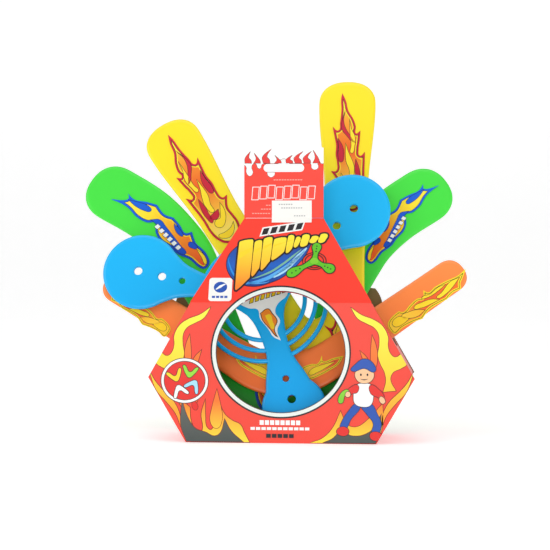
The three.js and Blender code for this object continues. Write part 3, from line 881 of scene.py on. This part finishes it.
def cut_to(line, panel):
    """The part of an outline that lies on a panel whose corners run anticlockwise."""
    hull = straight(panel)
    kept = line
    for a, b in zip(hull, hull[1:] + hull[:1]):
        normal = Vector((a.y - b.y, b.x - a.x))
        source, kept = kept, []
        for p, q in zip(source[-1:] + source[:-1], source):
            before = (p - a).dot(normal)
            after = (q - a).dot(normal)
            if before * after < 0:
                kept.append(p.lerp(q, before / (before - after)))
            if after >= 0:
                kept.append(q)
    return kept


class PanelPrint(Print):
    """Printing that stops at the panel's edges."""

    def __init__(self, name, base, panel):
        super().__init__(name, base)
        self.panel = panel

    def film(self, line, material, low, high=None, holes=(), placing=None):
        if placing:
            line = [(placing @ point.to_3d()).to_2d() for point in line]
        super().film(cut_to(line, self.panel), material, low, high, holes)


def carton_prints():
    front = PanelPrint("carton_front_print", FRONT, FRONT_PANEL)
    header = Print("carton_header_print", HEADER)
    for half, line, material, level in window_ring():
        target = front if half == "front" else header
        Print.film(target, line, material, target.height + level * INK)
    side_flames(front)
    bottom_flames(front)
    badge(front)
    caption(front)
    thrower(front)
    front.finish("carton", "printed_card")
    title(header)
    header.finish("header", "printed_card")


def side_flames(front):
    """Long tongues that lick up past the window, and thin ones along the slanting edges."""
    tongues = [
        (CARD_YELLOW, [
            (54, 104, TIP), (62, 98.5), (71, 95), (78, 90), (82, 82), (82, 75), (84, 69), (88, 66.5),
            (93, 70, TIP), (96.5, 62), (92, 58), (86, 55), (84, 49), (88, 41, TIP), (78.5, 40, TIP),
            (80.5, 48), (79.5, 55), (76.5, 61), (74.5, 68), (75.5, 76), (75, 84), (71.5, 89), (66, 92),
            (59, 96)]),
        (CARD_ORANGE, [(70, 83, TIP), (73, 75), (74, 66), (71, 58), (69, 66)]),
        (CARD_ORANGE, [(61, 71, TIP), (66, 66), (69, 59), (66, 54), (64, 61)]),
        (CARD_ORANGE, [(63, 53, TIP), (67, 47), (68, 39), (66, 30), (64, 40)]),
        (CARD_YELLOW, [
            (101.5, 55, TIP), (97, 47), (91, 40), (83, 32), (78, 22), (77, 12, TIP), (81, 22), (88, 31),
            (96, 40)]),
    ]
    for side in (-1, 1):
        for material, points in tongues:
            front.ink(curve([(x * side, *rest) for x, *rest in points]), material, 1, FLAME_LINE, 0.45)


def bottom_flames(front):
    """Flames in the two lower corners: ink, level, width of the line round it, and outline."""
    flames = [
        (CARD_LOW, 1, 0.5, [
            (-78, 30, TIP), (-73, 21), (-73, 12), (-69, 0.6, TIP), (-24, 0.6, TIP), (-28, 8), (-31, 14),
            (-37, 17), (-43, 22), (-47, 30, TIP), (-50, 18), (-53, 10), (-57, 12), (-58, 20),
            (-58, 33, TIP), (-61, 22), (-60, 10), (-64, 8), (-69, 16), (-70, 27, TIP), (-74, 30)]),
        (GREY, 3, 0.4, [
            (-76, 32, TIP), (-72, 20), (-66, 11), (-58, 8), (-51, 5), (-46, 8), (-43, 18, TIP), (-38, 9),
            (-29, 0.8, TIP), (-72.6, 0.8, TIP), (-77, 14)]),
        (CARD_LOW, 3, 0.4, [(-49, 41, TIP), (-46, 28), (-45, 18), (-49, 11), (-54, 16), (-53, 26)]),
        (PRINT_RED, 3, 0.3, [(-68, 33, TIP), (-64, 29), (-65, 25), (-68, 27)]),
        (CARD_LOW, 1, 0.4, [
            (23, 0.6, TIP), (32, 4), (40, 12), (46, 25, TIP), (51, 15), (58, 13), (66, 18), (78, 31, TIP),
            (78, 14), (72.6, 0.6, TIP)]),
        (GREY, 3, 0.4, [
            (33, 0.8, TIP), (40, 4), (45, 10), (48, 18, TIP), (51, 8), (58, 6), (66, 8), (72, 13),
            (77, 23, TIP), (75, 9), (72.6, 0.8, TIP)]),
    ]
    for material, level, width, points in flames:
        front.ink(curve(points), material, level, FLAME_LINE, width)


def badge(front):
    centre = (-74, 47.5)
    rings = [(BLACK, 18.6, 17.6), (WHITE, 18.1, 17.1), (BLACK, 16.2, 15.2), (PRINT_RED, 15.7, 14.7)]
    for level, (material, a, b) in enumerate(rings):
        front.ink(ellipse(centre, a, b, steps=64), material, 7 + level)
    bent = curve([(-6, 4), (-5.2, 5.2), (-3.8, 4.4), (0, 0.6), (3.8, 4.4), (5.2, 5.2), (6, 4),
                  (2, -2.4), (0, -3.6), (-2, -2.4)])
    for x, y, turn, material in [(-7, 3, 20, EDGE_YELLOW), (4, 6, -10, LEAF), (-4, -7, 200, WHITE),
                                 (7, -3, 150, PALE_BLUE)]:
        front.ink(bent, material, 11, BLACK, 0.5, put((centre[0] + x, centre[1] + y), turn))


def caption(front):
    """Plain bars in the places of the lines of text under the window."""
    for y, height, half, material in [(15.8, 3.6, 16, WHITE), (11.2, 2.2, 23, WHITE),
                                      (5.6, 3.0, 11, BLACK)]:
        count = half // 2
        pitch = 2 * half / count
        for i in range(count):
            front.ink(block(-half + pitch * i, y - height / 2, (pitch * 0.8, 0), (0, height)), material, 7)


def thrower(front):
    """A plain figure about to throw a boomerang: ink, level and outline of each part."""
    parts = [
        (FIGURE_BLUE, 8, [(58, 31), (52, 25), (47, 17), (46, 12), (50, 11.5), (54, 19), (61, 28)]),
        (FIGURE_BLUE, 8, [(62, 30), (66, 23), (71, 16), (70, 8), (74, 7), (77, 15), (74, 23), (69, 31)]),
        (PRINT_RED, 10, [(43, 9.5), (46, 6.5), (51, 7), (52, 11), (47, 13)]),
        (PRINT_RED, 10, [(68.5, 7.5), (70, 3.5), (76, 3), (78.5, 5), (77, 8), (72, 9.5)]),
        (WHITE, 10, [(57, 44), (63, 46.5), (70, 44.5), (71, 37), (69, 30), (63, 28.5), (57, 31), (56, 38)]),
        (PRINT_RED, 12, [(69, 45), (75, 42), (79, 37), (77.5, 34.5), (74, 36), (69, 39)]),
        (PRINT_RED, 12, [(59, 45), (54, 43.5), (50.5, 39.5), (51.5, 37), (55, 38.5), (59, 40)]),
        (SKIN, 14, [(77, 36.5), (80, 33), (78, 31), (75.5, 34)]),
        (LEAF, 14, [(44.5, 32), (45.5, 37.5), (50, 41.5), (52.5, 40), (49, 36.5), (47.5, 31.5)]),
        (SKIN, 16, [(50, 36.5), (53, 36.5), (53, 39.5), (50.5, 39.5)]),
        (SKIN, 14, [(57.5, 55), (58.5, 49), (64, 46.5), (70, 49), (71, 55), (65, 60)]),
        (FIGURE_BLUE, 16, [(54.5, 56), (58, 61.5), (64, 65), (70.5, 62), (72, 55.5), (64, 58)]),
    ]
    for material, level, points in parts:
        front.ink(curve(points), material, level, BLACK, 0.4)
    for x in (61.5, 66.5):
        front.ink(ellipse((x, 53), 0.7, 1.0, steps=12), BLACK, 16)
    front.ink(stroke([(61.5, 50), (64, 49.2), (66.5, 50)], [0.0, 0.4, 0.0]), BLACK, 16)


TITLE_BREAKS = [-36, -24, -17, -9, 2, 8, 13, 20, 27, 34]


def title(header):
    """Slanted blocks in place of the lettering, on a blue swoosh, with a three-bladed pictogram."""
    swoosh = curve([(-34, 49, TIP), (-41, 41), (-43, 32), (-40, 23), (-34, 17), (-26, 14), (-17, 14),
                    (-8, 17), (0, 21), (9, 29), (17, 39), (22, 50, TIP), (0, 50), (-20, 52)])
    header.ink(swoosh, SWOOSH, 1, BLACK, 0.6)
    for points, material, width in (
        [[(-40, 38), (-39, 27), (-32, 19), (-20, 16), (-10, 19)], STREAK_BLUE, 0.7],
        [[(-28, 17), (-14, 19), (-2, 26), (8, 34), (16, 44)], STREAK_BLUE, 1.5],
        [[(-22, 21), (-10, 25), (0, 32), (8, 39), (14, 45)], STREAK_GREEN, 0.8],
        [[(-6, 22), (3, 28), (10, 36), (18, 46)], PALE_BLUE, 1.6],
    ):
        header.ink(stroke(points, [0.0, width, width, width, 0.0]), material, 3)

    def edge(points, x):
        for (x0, y0), (x1, y1) in zip(points, points[1:]):
            if x <= x1:
                return y0 + (y1 - y0) * (x - x0) / (x1 - x0)
        return points[-1][1]

    top = [(-36, 52), (0, 57), (34, 58.5)]
    bottom = [(-36, 10), (-24, 20), (-14, 30), (-1, 40), (12, 47), (34, 52)]
    blocks = []
    for i, (low, high) in enumerate(zip(TITLE_BREAKS, TITLE_BREAKS[1:])):
        left = low + 0.5
        right = high - 0.5
        tall = 1.6 if i % 2 else 0.0
        foot = edge(bottom, low) + tall
        foot_right = edge(bottom, high) + tall * 0.5
        head = edge(top, low) - tall
        head_right = edge(top, high) - tall
        blocks.append(curve([
            (left, foot + 2), (left + 1, foot + 0.2), (right - 1.2, foot_right - 0.4),
            (right, foot_right + 1.6), (right + 1.4, head_right - 2), (right + 0.4, head_right),
            (left + 2.4, head), (left + 1.4, head - 2)], 3))
    for shape in blocks:
        header.ink(inset(shape, -1.4), BLACK, 5)
    for shape in blocks:
        header.ink(shape, TITLE, 6)
        low_left, low_right, high_right, high_left = [shape[i] for i in (0, 9, 12, 21)]
        gleam = straight([low_left.lerp(high_left, 0.62), low_right.lerp(high_right, 0.74),
                          low_right.lerp(high_right, 0.86), low_left.lerp(high_left, 0.8)])
        header.ink(inset(gleam, 0.4), EDGE_YELLOW, 7)
    for i in range(5):
        bar = block(-17 + 6.6 * i, 57.5 + 1.1 * i, (4.6, 0.8), (1.6, 5.6))
        header.ink(bar, BLACK, 8, WHITE, 1.1)
    pictogram(header)


def pictogram(header):
    """A small three-bladed boomerang in two thin rings."""
    centre = Vector((25, 35))
    flatness = 0.8
    for radius in (7.5, 9.5):
        header.film(ellipse(centre, radius, radius * flatness), BLACK, header.height + 8 * INK,
                    holes=[ellipse(centre, radius - 0.7, radius * flatness - 0.7)])
    shapes = []
    for tip, width in (((27, 50), 3.4), ((40, 27), 3.8), ((5, 23), 3.6)):
        run = Vector(tip) - centre
        reach = run.length
        arm = curve([(-2, -2.2), (reach * 0.4, -1.6), (reach * 0.8, -width), (reach, -width * 0.5),
                     (reach, width * 0.5), (reach * 0.8, width), (reach * 0.4, 1.6), (-2, 2.2)])
        shapes.append((arm, put(centre, degrees(atan2(run.y, run.x))), reach))
    for arm, placing, reach in shapes:
        header.ink(inset(arm, -0.8), BLACK, 9, placing=placing)
    for arm, placing, reach in shapes:
        header.ink(arm, LEAF, 10, placing=placing)
    header.ink(ellipse(centre, 3.2, 2.8), LEAF, 11)
    for arm, placing, reach in shapes:
        for share in (0.55, 0.7, 0.85):
            header.ink(ellipse((reach * share, 0), 0.6, 0.6, steps=14), BLACK, 11, placing=placing)


def tab_print():
    """The white top of the hang tab, dripping down past the slot, with red tongues on it."""
    piece = PanelPrint("carton_tab_print", TAB, TAB_PANEL)
    white = curve([
        (-33, 57, TIP), (-33, 43, TIP), (-29.5, 40), (-29.5, 36), (-27, 33), (-24.5, 35.5), (-25.5, 40),
        (-23.5, 43), (-21.5, 42), (-20.5, 39.5), (-18.6, 39), (-17.3, 42), (-15.5, 42.8, TIP),
        (-5, 42.8, TIP), (-4.4, 44.4), (0, 46.5), (4.4, 44.4), (5, 42.8, TIP), (15.5, 42.8, TIP),
        (19, 43.2), (21.5, 42), (22, 39), (24.5, 37.8), (27, 39.5), (26.5, 43), (28, 44.5),
        (29.5, 42.6), (33, 43, TIP), (33, 57, TIP)])
    drop = curve([(-13, 35.7, TIP), (-12.4, 33.4), (-10, 32), (-7.6, 33.4), (-7, 35.7, TIP)])
    for shape in (white, drop):
        piece.ink(shape, WHITE, 1, BLACK, 0.25)
    root = 43
    for x, height, bend in ((-28, 9, 1.5), (-21, 8, -2.5), (-13.5, 11, 3.5), (-4.5, 6, -2.5),
                            (4.5, 6, 2), (11.5, 9, 3.5), (18.5, 9, 3), (25.5, 10, -2.5)):
        tongue = curve([(x - 2.6, root, TIP), (x - 1.9 - bend * 0.4, root + height * 0.45),
                        (x + bend, root + height, TIP), (x + 0.6 - bend * 0.1, root + height * 0.5),
                        (x + 2.2, root + 0.4 + height * 0.2), (x + 2.6, root, TIP)])
        piece.ink(tongue, PRINT_RED, 3, BLACK, 0.25)
    for i in range(8):
        bar = block(-25 + 6.3 * i, 14.5 + 0.7 * (i % 3), (4.6, 0), (0.8, 9.5))
        piece.ink(bar, HEADER_RED, 1, WHITE, 0.5)
    for y, low, high in ((29.5, -8, 14), (9.6, -14, -11), (6.6, -18, -11), (3.2, -25, -11)):
        dash = low
        while dash < high:
            piece.ink(block(dash, y, (1.5, 0), (0, 0.7)), PALE_RED, 1)
            dash += 2.1
    piece.finish("header", "printed_card")


def paper_labels():
    """The two stuck-on labels keep their CAD shape and get a few faint printed marks."""
    price = Print("price_label_print", TAB, STICKER_GAP + LABEL_THICK)
    for y, start, count in ((10.6, -4, 6), (7.8, -2, 9), (1.6, 8, 5)):
        for i in range(count):
            price.ink(block(start + 1.9 * i, y - 0.45, (1.3, 0), (0, 0.9)), FAINT, 0)
    price.finish("header", "paper_label")
    patch = Print("round_cornered_sticker_print", HEADER, STICKER_GAP + LABEL_THICK)
    patch.ink(ellipse((-46.8, 12.5), 5.2, 4.6), FIGURE_BLUE, 0)
    patch.ink(stroke([(-50, 10.5), (-47, 13), (-43, 15)], [0.0, 1.1, 0.0]), WHITE, 1)
    for i in range(4):
        patch.ink(block(-53 + 3.2 * i, 3.4, (2.4, 0), (0, 1.8)), FIGURE_BLUE, 0)
    patch.finish("header", "paper_label")


def dress_cad_nodes():
    """The CAD nodes that still show get their materials."""
    looks = {
        "carton_front_panel": CARD_RED,
        "carton_header_panel": HEADER_BOARD,
        "carton_hang_tab": HEADER_BOARD,
        "price_label": LABEL_PAPER,
        "round_cornered_sticker": LABEL_PAPER,
    }
    for name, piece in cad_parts.items():
        if name in looks:
            material = looks[name]
        elif "side" in name:
            material = LEFT_BOARD if name.endswith("left") else RIGHT_BOARD
        elif name.startswith("carton"):
            material = KRAFT
        else:
            continue
        piece.data.materials.clear()
        piece.data.materials.append(material)


# ---- the stage, lights and camera, in metres -------------------------------------------------

BACKDROP_GLOW = 0.36
ROOM_LIGHT = 0.4
LAMP_TARGET = (0.0, 0.0, 0.12)
CAMERA_AT = (0.1079, -1.2066, 0.150)
CAMERA_TARGET = (0.0087, -0.0566, 0.1289)
LENS = 98.8                            # millimetres, for a 36 mm sensor


def backdrop():
    """A white sweep: a floor that curves up into a wall."""
    bend = 0.8
    bend_start = 1.6
    half_width = 3.0
    drop = 0.0002                      # keeps the floor just under the carton
    profile = [(-2.6, 0.0), (bend_start, 0.0)]
    profile += [(bend_start + bend * sin(radians(a)), bend - bend * cos(radians(a)))
                for a in range(10, 91, 10)]
    profile.append((bend_start + bend, 3.2))
    vertices = [(x, y, z - drop) for y, z in profile for x in (-half_width, half_width)]
    faces = [(2 * i, 2 * i + 1, 2 * i + 3, 2 * i + 2) for i in range(len(profile) - 1)]
    data = bpy.data.meshes.new("backdrop")
    data.from_pydata(vertices, [], faces)
    data.polygons.foreach_set("use_smooth", [True] * len(faces))
    white = (0.93, 0.93, 0.93, 1)
    paper = finish_material("backdrop_white", [(0.0, white), (1.0, white)], ("Object", "Y", 0, 1),
                            roughness=0.9, grain=60, mottle=0.01, bump=0.02)
    glow = paper.node_tree.nodes["Principled BSDF"].inputs
    glow["Emission Color"].default_value = (1, 1, 1, 1)
    glow["Emission Strength"].default_value = BACKDROP_GLOW
    data.materials.append(paper)
    sweep = add("backdrop", data)


def aim(thing, at, target):
    thing.location = at
    thing.rotation_euler = (Vector(target) - Vector(at)).to_track_quat("-Z", "Y").to_euler()


def softbox(name, at, size, watts):
    data = bpy.data.lights.new(name, "AREA")
    data.shape = "RECTANGLE"
    data.size, data.size_y = size
    data.energy = watts
    aim(add(name, data), at, LAMP_TARGET)


def lights():
    world = bpy.data.worlds.new("studio")
    bpy.context.scene.world = world
    world.use_nodes = True
    background = world.node_tree.nodes["Background"]
    background.inputs["Color"].default_value = (1.0, 1.0, 1.0, 1)
    background.inputs["Strength"].default_value = ROOM_LIGHT
    softbox("softbox_top", at=(-0.2, -0.45, 1.6), size=(1.8, 0.9), watts=8)
    softbox("softbox_left", at=(-1.5, -1.1, 0.9), size=(0.7, 1.0), watts=6)
    softbox("softbox_right", at=(1.6, -1.1, 0.7), size=(0.7, 1.0), watts=4)
    softbox("softbox_front", at=(0.1, -2.4, 0.1), size=(1.6, 0.7), watts=19)


def camera():
    data = bpy.data.cameras.new("camera")
    data.lens = LENS
    data.sensor_width = 36
    view = add("camera", data)
    aim(view, CAMERA_AT, CAMERA_TARGET)
    bpy.context.scene.camera = view
    bpy.context.scene.view_settings.view_transform = "Standard"


camera()
lights()
backdrop()
dress_cad_nodes()
tri_blade()
bent_blades()
flame_stickers()
hub_label()
carton_prints()
crease_cover()
tab_print()
paper_labels()
